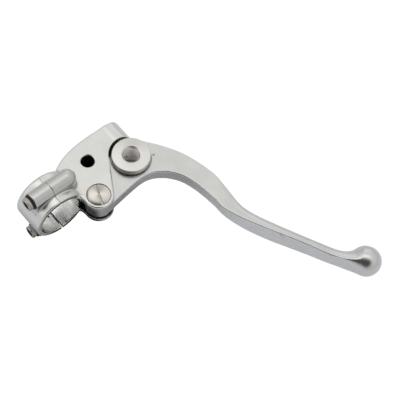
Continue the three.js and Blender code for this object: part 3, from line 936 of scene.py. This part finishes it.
# The washers are real; their near black is painted shade for the gap between each bolt's head and
# the cap.
washer_painted_shade = plain_material("washer_painted_shade", (0.022, 0.022, 0.021), 0.45)
# Near black painted shade, laid in the slot between the ears, the mirror hole, the counterbores,
# the bolts' sockets and the gap beside the barrel.
dark = plain_material("painted_recess_shade", (0.016, 0.016, 0.015), 0.6)
# Near white painted light on the nipple bore's walls, and mid grey painted shade on its floor.
pale = plain_material("painted_light_bore", (0.97, 0.94, 0.94), 0.5)
floor_shade = plain_material("painted_shade_bore_floor", (0.45, 0.44, 0.43), 0.6)


# ------------------------------------------------------------------ zones of the surfaces
def in_bore(x, y, z):
    return bore(x, y, z) < 0.12


# Where the darker copy of the casting lies, as painted shade on the bosses.
def on_boss(x, y, z):
    return (to_boss(x, z) < BOSS_R + 0.2) & (z > PLATE_Z + 0.15)


def in_slot(x, y, z):
    return slot_between_ears(x, y, z) < 0.12


def in_mirror_hole(x, y, z):
    return (rod(x, y, MIRROR, MIRROR_HOLE_R) < 0.1) & (np.abs(z) < PLATE_Z - 0.4)


def in_counterbore(x, y, z):
    return (to_bolt(x, z) < COUNTERBORE_R + 0.1) & (y > CAP_FACE_Y + 0.3) & (y < -2)


def beside_barrel(x, y, z):
    """The lever's eye where the bracket's cutout shows it from above, painted dark as shade."""
    to_eye = rod(x, y, EYE, 0)
    near = (bracket_plan.read(x, y)[0] < 1.25) & (y > 41.0)
    return near & (z > 3.6) & (to_eye > 10.5) & (to_eye < EYE_R + 0.2)


def in_socket(bolt_z):
    def where(x, y, z):
        near = rod(x, z, (BOLT_X, bolt_z), HEX_ACROSS / 2 + 0.3) < 0
        return near & (y > BOLT_FACE_Y + 0.2) & (y < BOLT_FACE_Y + HEX_DEPTH + 0.3)
    return where


def in_nipple_bore(x, y, z):
    wall = np.abs(rod(x, y, EYE, NIPPLE_R)) < 0.1
    return wall & (z < BARREL_TOP - 1.3) & (z > NIPPLE_FLOOR + 0.2)


def on_nipple_floor(x, y, z):
    return (rod(x, y, EYE, NIPPLE_R) < 0.1) & (np.abs(z - NIPPLE_FLOOR) < 0.3)


# ------------------------------------------------------------------ pieces
# Zones given the dark material are painted shade in slots, holes, sockets and gaps.
field_piece("bracket_casting", bracket_field, (-18, 0, -22.5), (24, 60, 22.5), 0.42,
            "bracket", cast, ["bracket"],
            [(cast_boss_painted_shade, on_boss), (machined, in_bore), (dark, in_slot), (dark, in_mirror_hole)])
field_piece("clamp_cap_casting", cap_field, (-10.5, -16, -22.5), (10.5, 0.2, 22.5), 0.28,
            "bracket", cast, ["clamp_cap"],
            [(cast_boss_painted_shade, on_boss), (machined, in_bore), (dark, in_counterbore)])
field_piece("lever_casting", lever_field, (-7, 13, -8.8), (142.5, 121, 8.8), 0.44,
            "lever", cast_lever, ["lever_blade"], [(dark, beside_barrel)])
# The nipple bore's walls are painted light and its floor painted shade.
field_piece("barrel_turned", barrel_field, (-4.5, 39, -6.6), (18.5, 62, 9), 0.24,
            "barrel", bright, ["cable_barrel"],
            [(pale, in_nipple_bore), (floor_shade, on_nipple_floor)])
field_piece("snap_ring", clip_field, (-3, 40.5, -5.8), (17, 60.5, -4.3), 0.16,
            "barrel", steel, ["barrel_clip"])
for side, z in zip(("upper", "lower"), BOLTS_Z):
    field_piece(side + "_bolt", shifted(bolt_field, z),
                (-4.1, -15.6, z - 4.6), (5.1, 12, z + 4.6), 0.15,
                "bracket", steel, [side + "_clamp_bolt"], [(dark, in_socket(z))])
    # The washers' near black is painted shade.
    field_piece(side + "_washer", shifted(washer_field, z),
                (-4.1, -12.8, z - 4.6), (5.1, -11.1, z + 4.6), 0.16,
                "bracket", washer_painted_shade, [side + "_bolt_washer"])
field_piece("pivot_screw_turned", pivot_screw_field, (8.8, 14.4, -14), (22.4, 28, 9.4), 0.18,
            "bracket", nickel, ["pivot_screw"])
field_piece("pivot_nut_hex", pivot_nut_field, (9.4, 15, -12.7), (21.9, 27.3, -8.2), 0.18,
            "bracket", steel, ["pivot_nut"])
field_piece("thrust_washer_ring", ring_field(PIVOT, SHOULDER_R + 0.3, THRUST_R, *THRUST_Z, 0.1),
            (8.2, 13.6, -5), (23, 28.6, -4.2), 0.14,
            "bracket", steel, ["thrust_washer"])
field_piece("bush_sleeve",
            ring_field(PIVOT, SHOULDER_R + 0.2, BUSH_R - 0.1, -LEVER_HALF_T, LEVER_HALF_T, 0.3),
            (9.9, 15.4, -4.3), (21.3, 26.9, 4.3), 0.2,
            "lever", bronze, ["pivot_bush"])


# ------------------------------------------------------------------ camera, m
CAMERA_AT = (0.21299, -0.13354, 0.48577)
CAMERA_RIGHT = (0.652, 0.753, 0.088)
CAMERA_DOWN = (0.697, -0.550, -0.460)


def aim_matrix(right, down, at):
    """Camera's pose from its place and the directions of its picture's right and lower sides."""
    x = np.array(right, float)
    x /= np.linalg.norm(x)
    y = -np.array(down, float)
    y -= x * x.dot(y)
    y /= np.linalg.norm(y)
    z = np.cross(x, y)
    m = Matrix.Identity(4)
    for row in range(3):
        m[row][0], m[row][1], m[row][2], m[row][3] = x[row], y[row], z[row], at[row]
    return m


lens = bpy.data.cameras.new("camera")
lens.lens = 90.0
lens.sensor_width = 36.0
camera = bpy.data.objects.new("camera", lens)
camera.matrix_world = aim_matrix(CAMERA_RIGHT, CAMERA_DOWN, CAMERA_AT)
bpy.context.scene.collection.objects.link(camera)
bpy.context.scene.camera = camera


# ------------------------------------------------------------------ light and floor, m
# Brightness of the tent against the height of the direction, 0 at the horizon, 1 overhead.
TENT_RAMP = [(0.0, 0.72), (0.35, 0.88), (0.7, 1.0), (0.87, 1.06), (0.95, 1.42), (1.0, 1.8)]
TENT_BLUE = 0.98
# Patches of the tent: the direction, the half angles where a patch is full and where it
# ends, and the factor on the tent's brightness. The first is the dark opening.
LOBES = [
    ((0.308, -0.534, 0.788), 18, 48, 0.05),
    ((-0.36, -0.53, 0.77), 10, 55, 1.4),
    ((-0.58, 0.68, 0.42), 8, 30, 1.34),
]
GROUND_Z = -0.12
GROUND_HALF = 3.0
# The table's brightness against the distance from its centre, near black close to the centre as a
# painted shadow under the part, the reach of those distances, and the distances between which a
# faint glow sets in.
TABLE_CENTRE = (0.018, 0.008, -0.024)
TABLE_TONES_AND_SHADOW = [(0.010, 0.01), (0.015, 0.66), (0.04, 0.62), (0.055, 0.80), (0.15, 0.76)]
TABLE_REACH = 0.2
TABLE_GLOW = 0.23
TABLE_GLOW_FROM = 0.035
TABLE_GLOW_FULL = 0.085


def fill_ramp(ramp, stops, tint):
    """Grey stops of (position, level) in a colour ramp, each times tint."""
    ramp.elements[0].position = stops[0][0]
    ramp.elements[1].position = stops[-1][0]
    for position, _ in stops[1:-1]:
        ramp.elements.new(position)
    for element, (_, level) in zip(ramp.elements, stops):
        element.color = (*[level * t for t in tint], 1)


def lobe_factor(tree, direction_output, direction, inner, outer, level):
    """1 away from direction, and level within the half angle inner of it."""
    toward = tree.nodes.new("ShaderNodeVectorMath")
    toward.operation = "DOT_PRODUCT"
    toward.inputs[1].default_value = direction
    tree.links.new(direction_output, toward.inputs[0])
    lobe = tree.nodes.new("ShaderNodeMapRange")
    lobe.interpolation_type = "SMOOTHSTEP"
    lobe.inputs["From Min"].default_value = math.cos(math.radians(outer))
    lobe.inputs["From Max"].default_value = math.cos(math.radians(inner))
    lobe.inputs["To Min"].default_value = 1.0
    lobe.inputs["To Max"].default_value = level
    tree.links.new(toward.outputs["Value"], lobe.inputs["Value"])
    return lobe.outputs["Result"]


def studio_world():
    """A light tent, brighter above, with a dark opening and two brighter patches."""
    world = bpy.data.worlds.new("studio")
    world.use_nodes = True
    bpy.context.scene.world = world
    tree = world.node_tree
    coords = tree.nodes.new("ShaderNodeTexCoord")
    split = tree.nodes.new("ShaderNodeSeparateXYZ")
    tree.links.new(coords.outputs["Generated"], split.inputs[0])
    rise = tree.nodes.new("ShaderNodeValToRGB")
    fill_ramp(rise.color_ramp, TENT_RAMP, (1, 1, TENT_BLUE))
    tree.links.new(split.outputs["Z"], rise.inputs["Fac"])
    factor = None
    for lobe in LOBES:
        here = lobe_factor(tree, coords.outputs["Generated"], *lobe)
        if factor is None:
            factor = here
            continue
        times = tree.nodes.new("ShaderNodeMath")
        times.operation = "MULTIPLY"
        tree.links.new(factor, times.inputs[0])
        tree.links.new(here, times.inputs[1])
        factor = times.outputs["Value"]
    both = tree.nodes.new("ShaderNodeVectorMath")
    both.operation = "SCALE"
    tree.links.new(rise.outputs["Color"], both.inputs[0])
    tree.links.new(factor, both.inputs["Scale"])
    tree.links.new(both.outputs["Vector"], tree.nodes["Background"].inputs["Color"])


def plane(name, z, half, material):
    mesh = bpy.data.meshes.new(name)
    corners = [(-half, -half, z), (half, -half, z), (half, half, z), (-half, half, z)]
    mesh.from_pydata(corners, [], [(0, 1, 2, 3)])
    mesh.materials.append(material)
    obj = bpy.data.objects.new(name, mesh)
    bpy.context.scene.collection.objects.link(obj)
    return obj


def matt_material(name, glow_colour):
    """A matt surface, whose colour and strength of glow are still to be set."""
    material, tree, shader = new_material(name)
    shader.inputs["Roughness"].default_value = 0.9
    shader.inputs["Specular IOR Level"].default_value = 0.0
    shader.inputs["Emission Color"].default_value = (*glow_colour, 1)
    return material, tree, shader


def ground_material():
    material, _, shader = matt_material("pale_ground", (1, 1, 1))
    shader.inputs["Base Color"].default_value = (0.05, 0.05, 0.05, 1)
    shader.inputs["Emission Strength"].default_value = 1.0
    return material


def table_material():
    """Tones against the distance from TABLE_CENTRE, with a painted shadow under the part, and a
    glow that sets in further out.
    """
    material, tree, shader = matt_material("table_white_painted_shadow", (0.93, 0.95, 1.0))
    coords = tree.nodes.new("ShaderNodeTexCoord")
    distance = tree.nodes.new("ShaderNodeVectorMath")
    distance.operation = "DISTANCE"
    distance.inputs[1].default_value = TABLE_CENTRE
    tree.links.new(coords.outputs["Object"], distance.inputs[0])
    share = tree.nodes.new("ShaderNodeMapRange")
    share.inputs["From Max"].default_value = TABLE_REACH
    tree.links.new(distance.outputs["Value"], share.inputs["Value"])
    tone = tree.nodes.new("ShaderNodeValToRGB")
    stops = [(at / TABLE_REACH, level) for at, level in TABLE_TONES_AND_SHADOW]
    fill_ramp(tone.color_ramp, stops, (1, 1.01, 1.07))
    tree.links.new(share.outputs["Result"], tone.inputs["Fac"])
    tree.links.new(tone.outputs["Color"], shader.inputs["Base Color"])
    spread = tree.nodes.new("ShaderNodeMapRange")
    spread.interpolation_type = "SMOOTHSTEP"
    spread.inputs["From Min"].default_value = TABLE_GLOW_FROM
    spread.inputs["From Max"].default_value = TABLE_GLOW_FULL
    spread.inputs["To Max"].default_value = TABLE_GLOW
    tree.links.new(distance.outputs["Value"], spread.inputs["Value"])
    tree.links.new(spread.outputs["Result"], shader.inputs["Emission Strength"])
    return material


studio_world()

# The pale ground lies well below. The part rests just above a matt table, which the lens
# doesn't see, so that only the metal mirrors it.
floor = plane("floor", GROUND_Z, GROUND_HALF, ground_material())
floor.visible_glossy = False
floor.visible_diffuse = False
table = plane("table", TABLE_CENTRE[2], GROUND_HALF, table_material())
table.visible_camera = False

bpy.context.scene.view_settings.view_transform = "Standard"
